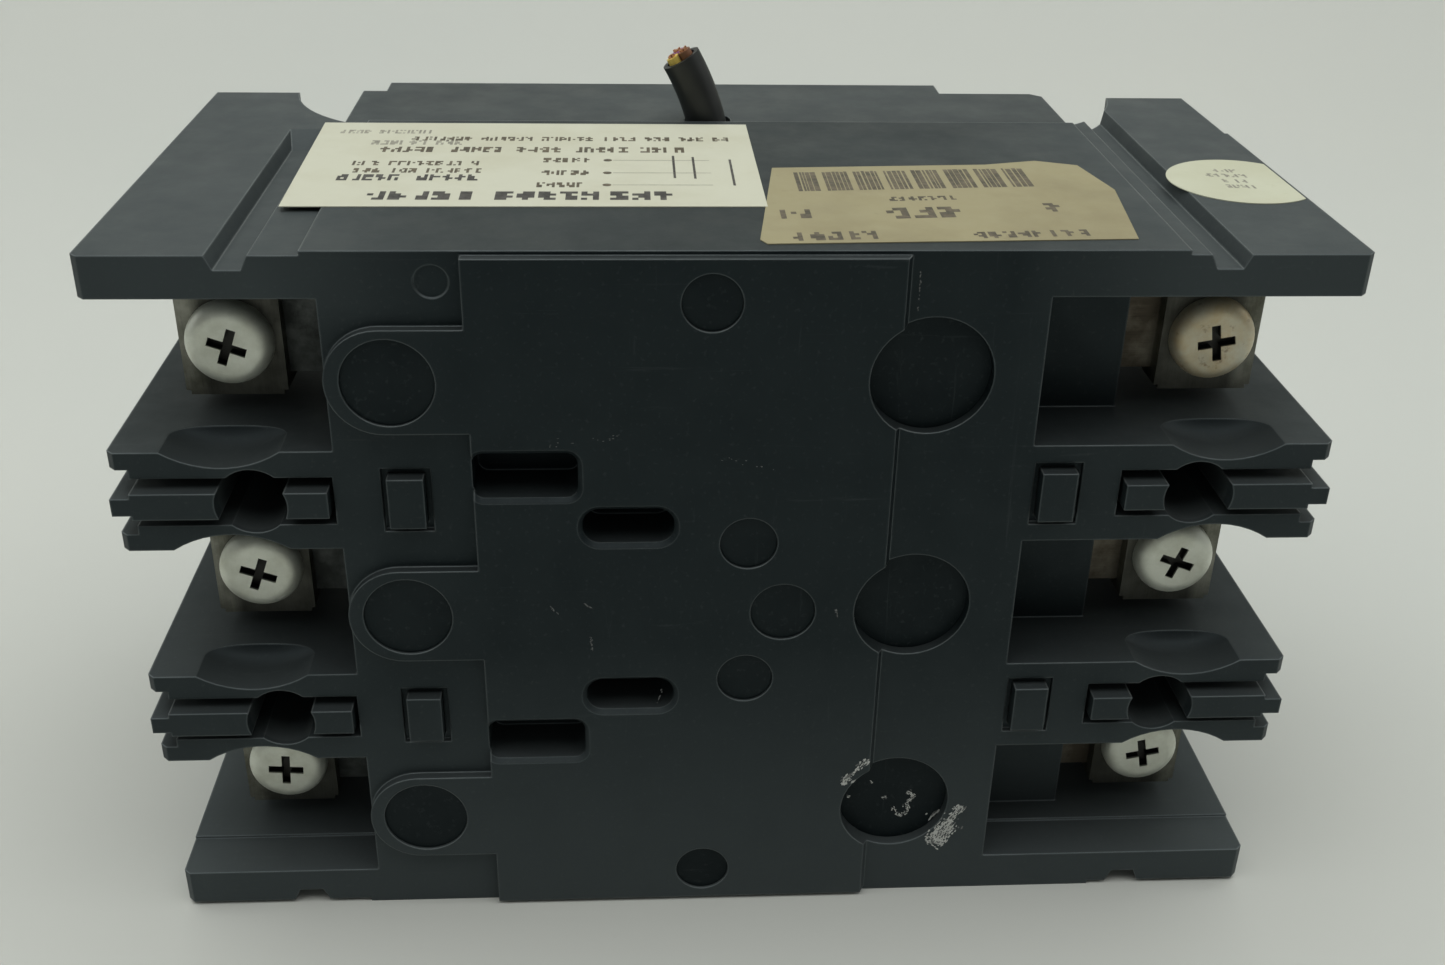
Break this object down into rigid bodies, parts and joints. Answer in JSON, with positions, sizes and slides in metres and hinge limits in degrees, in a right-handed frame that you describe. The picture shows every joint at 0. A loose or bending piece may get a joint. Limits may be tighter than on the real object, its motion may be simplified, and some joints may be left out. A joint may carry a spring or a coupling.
{
  "type": "three-pole moulded-case circuit breaker",
  "caption": "Moulded-case three-pole breaker with box lugs between barrier ribs, a toggle handle, trip button and a cut alarm cable.",
  "frame": {"origin": "centre of the four mounting holes, on the mounting face", "axes": "+X from line end to load end, +Y from the mounting face to the handle, +Z across the poles towards the side the cable leaves"},
  "size_m": [0.1618, 0.1041, 0.1148],
  "materials": {
    "case_plastic": "moulded, satin",
    "cover_plastic": "moulded, satin",
    "handle_plastic": "moulded, satin",
    "button_plastic": "moulded, semi-gloss",
    "switch_plastic": "moulded, matte",
    "lever_plastic": "moulded, matte",
    "phenolic": "moulded phenolic",
    "seal_compound": "poured compound, dull",
    "zinc_steel": "zinc plated, worn",
    "black_steel": "black oxide",
    "bare_steel": "mill finish",
    "spring_steel": "drawn wire",
    "bimetal_strip": "rolled strip",
    "copper": "rolled copper",
    "brass_plain": "turned brass",
    "silver_alloy": "pressed silver alloy",
    "lug_metal": "extruded, tin plated",
    "red_fibre": "vulcanised fibre",
    "cable_jacket": "smooth jacket",
    "wire_yellow": "insulation",
    "wire_brown": "insulation",
    "wire_purple": "insulation",
    "cream_paper": "printed label",
    "tan_paper": "aged printed label",
    "white_paper": "printed sticker"
  },
  "bodies": {
    "case": {"base": "case_plastic", "cover": "cover_plastic", "cover_screws": "zinc_steel", "cover_nuts": "black_steel", "line_straps": "copper", "load_straps": "copper", "lug_mount_screws": "zinc_steel", "strap_screws": "black_steel", "screw_seals": "seal_compound", "fixed_contacts": "silver_alloy", "arc_plates": "bare_steel", "arc_side_sheets": "red_fibre", "bimetals": "bimetal_strip", "calibration_screws": "brass_plain", "magnet_yokes": "bare_steel", "mechanism_frame": "zinc_steel", "frame_screws": "zinc_steel", "flexible_braids": "copper", "trip_bar_spring": "spring_steel", "alarm_switch": "switch_plastic", "alarm_cable": "cable_jacket", "wire_yellow": "wire_yellow", "wire_brown": "wire_brown", "wire_purple": "wire_purple", "alarm_label": "cream_paper", "rating_label": "tan_paper", "inspection_sticker": "white_paper", "line_lug_a": "lug_metal", "line_lug_b": "lug_metal", "line_lug_c": "lug_metal", "load_lug_a": "lug_metal", "load_lug_b": "lug_metal", "load_lug_c": "lug_metal"},
    "handle_part": {"handle": "handle_plastic", "handle_yoke": "zinc_steel", "toggle_springs": "spring_steel"},
    "shutter_part": {"handle_shutter": "handle_plastic"},
    "crossbar_part": {"crossbar": "phenolic", "crossbar_pin": "bare_steel", "blade_a": "copper", "blade_b": "copper", "blade_c": "copper", "moving_contacts": "silver_alloy"},
    "lower_link_part": {"lower_link": "bare_steel", "knee_pin": "bare_steel"},
    "cradle_part": {"cradle": "bare_steel"},
    "upper_link_part": {"upper_link": "bare_steel"},
    "trip_bar_part": {"trip_bar": "phenolic"},
    "button_part": {"trip_button": "button_plastic"},
    "alarm_lever_part": {"alarm_lever": "lever_plastic"},
    "armature_part_a": {"armature_a": "bare_steel"},
    "armature_part_b": {"armature_b": "bare_steel"},
    "armature_part_c": {"armature_c": "bare_steel"},
    "line_screw_part_a": {"line_bind_screw_a": "zinc_steel"},
    "line_screw_part_b": {"line_bind_screw_b": "zinc_steel"},
    "line_screw_part_c": {"line_bind_screw_c": "zinc_steel"},
    "load_screw_part_a": {"load_bind_screw_a": "zinc_steel"},
    "load_screw_part_b": {"load_bind_screw_b": "zinc_steel"},
    "load_screw_part_c": {"load_bind_screw_c": "zinc_steel"}
  },
  "joints": [
    {"name": "handle_swing", "type": "hinge", "parent": "case", "child": "handle_part", "pos_m": [0.002, 0.044, 0], "axis": [0, 0, 1], "range_deg": [0, 26], "deforming": ["toggle_springs"]},
    {"name": "shutter_slide", "type": "slide", "parent": "case", "child": "shutter_part", "axis": [1, 0, 0], "range_m": [-0.0176, 0]},
    {"name": "crossbar_swing", "type": "hinge", "parent": "case", "child": "crossbar_part", "pos_m": [0.004, 0.025, 0], "axis": [0, 0, 1], "range_deg": [0, 28.1]},
    {"name": "lower_link_swing", "type": "hinge", "parent": "crossbar_part", "child": "lower_link_part", "pos_m": [0.00163, 0.03759, 0], "axis": [0, 0, 1], "range_deg": [-14.1, 0]},
    {"name": "cradle_swing", "type": "hinge", "parent": "case", "child": "cradle_part", "pos_m": [-0.02, 0.052, 0], "axis": [0, 0, 1], "range_deg": [0, 12]},
    {"name": "upper_link_swing", "type": "hinge", "parent": "cradle_part", "child": "upper_link_part", "pos_m": [-0.007, 0.058, 0], "axis": [0, 0, 1], "range_deg": [-43.5, 0]},
    {"name": "trip_button_press", "type": "slide", "parent": "case", "child": "button_part", "axis": [0, -1, 0], "range_m": [0, 0.0025], "stiffness_N_per_m": 250, "springref_m": -0.001},
    {"name": "trip_bar_turn", "type": "hinge", "parent": "case", "child": "trip_bar_part", "pos_m": [0.036, 0.058, 0], "axis": [0, 0, 1], "range_deg": [0, 21.1]},
    {"name": "alarm_lever_lift", "type": "hinge", "parent": "case", "child": "alarm_lever_part", "pos_m": [-0.014, 0.061, 0], "axis": [0, 0, 1], "range_deg": [0, 18.6]},
    {"name": "armature_pull_a", "type": "hinge", "parent": "case", "child": "armature_part_a", "pos_m": [0.0237, 0.025, 0.03492], "axis": [0, 0, 1], "range_deg": [-3.2, 0], "stiffness_Nm_per_rad": 0.02, "springref_deg": 2.86},
    {"name": "armature_pull_b", "type": "hinge", "parent": "case", "child": "armature_part_b", "pos_m": [0.0237, 0.025, 0], "axis": [0, 0, 1], "range_deg": [-3.2, 0], "stiffness_Nm_per_rad": 0.02, "springref_deg": 2.86},
    {"name": "armature_pull_c", "type": "hinge", "parent": "case", "child": "armature_part_c", "pos_m": [0.0237, 0.025, -0.03492], "axis": [0, 0, 1], "range_deg": [-3.2, 0], "stiffness_Nm_per_rad": 0.02, "springref_deg": 2.86},
    {"name": "line_screw_drive_a", "type": "slide", "parent": "case", "child": "line_screw_part_a", "axis": [0, -1, 0], "range_m": [0, 0.008]},
    {"name": "line_screw_drive_b", "type": "slide", "parent": "case", "child": "line_screw_part_b", "axis": [0, -1, 0], "range_m": [0, 0.008]},
    {"name": "line_screw_drive_c", "type": "slide", "parent": "case", "child": "line_screw_part_c", "axis": [0, -1, 0], "range_m": [0, 0.008]},
    {"name": "load_screw_drive_a", "type": "slide", "parent": "case", "child": "load_screw_part_a", "axis": [0, -1, 0], "range_m": [0, 0.008]},
    {"name": "load_screw_drive_b", "type": "slide", "parent": "case", "child": "load_screw_part_b", "axis": [0, -1, 0], "range_m": [0, 0.008]},
    {"name": "load_screw_drive_c", "type": "slide", "parent": "case", "child": "load_screw_part_c", "axis": [0, -1, 0], "range_m": [0, 0.008]}
  ],
  "couplings": [
    {"joint": "shutter_slide", "follows": "handle_swing", "m_per_rad": -0.038468},
    {"joint": "crossbar_swing", "follows": "handle_swing", "ratio": 1.0769},
    {"joint": "lower_link_swing", "follows": "handle_swing", "ratio": -0.53616},
    {"joint": "upper_link_swing", "follows": "handle_swing", "ratio": -1.6644},
    {"joint": "trip_bar_turn", "follows": "trip_button_press", "rad_per_m": 146.61},
    {"joint": "alarm_lever_lift", "follows": "cradle_swing", "ratio": 1.54}
  ]
}
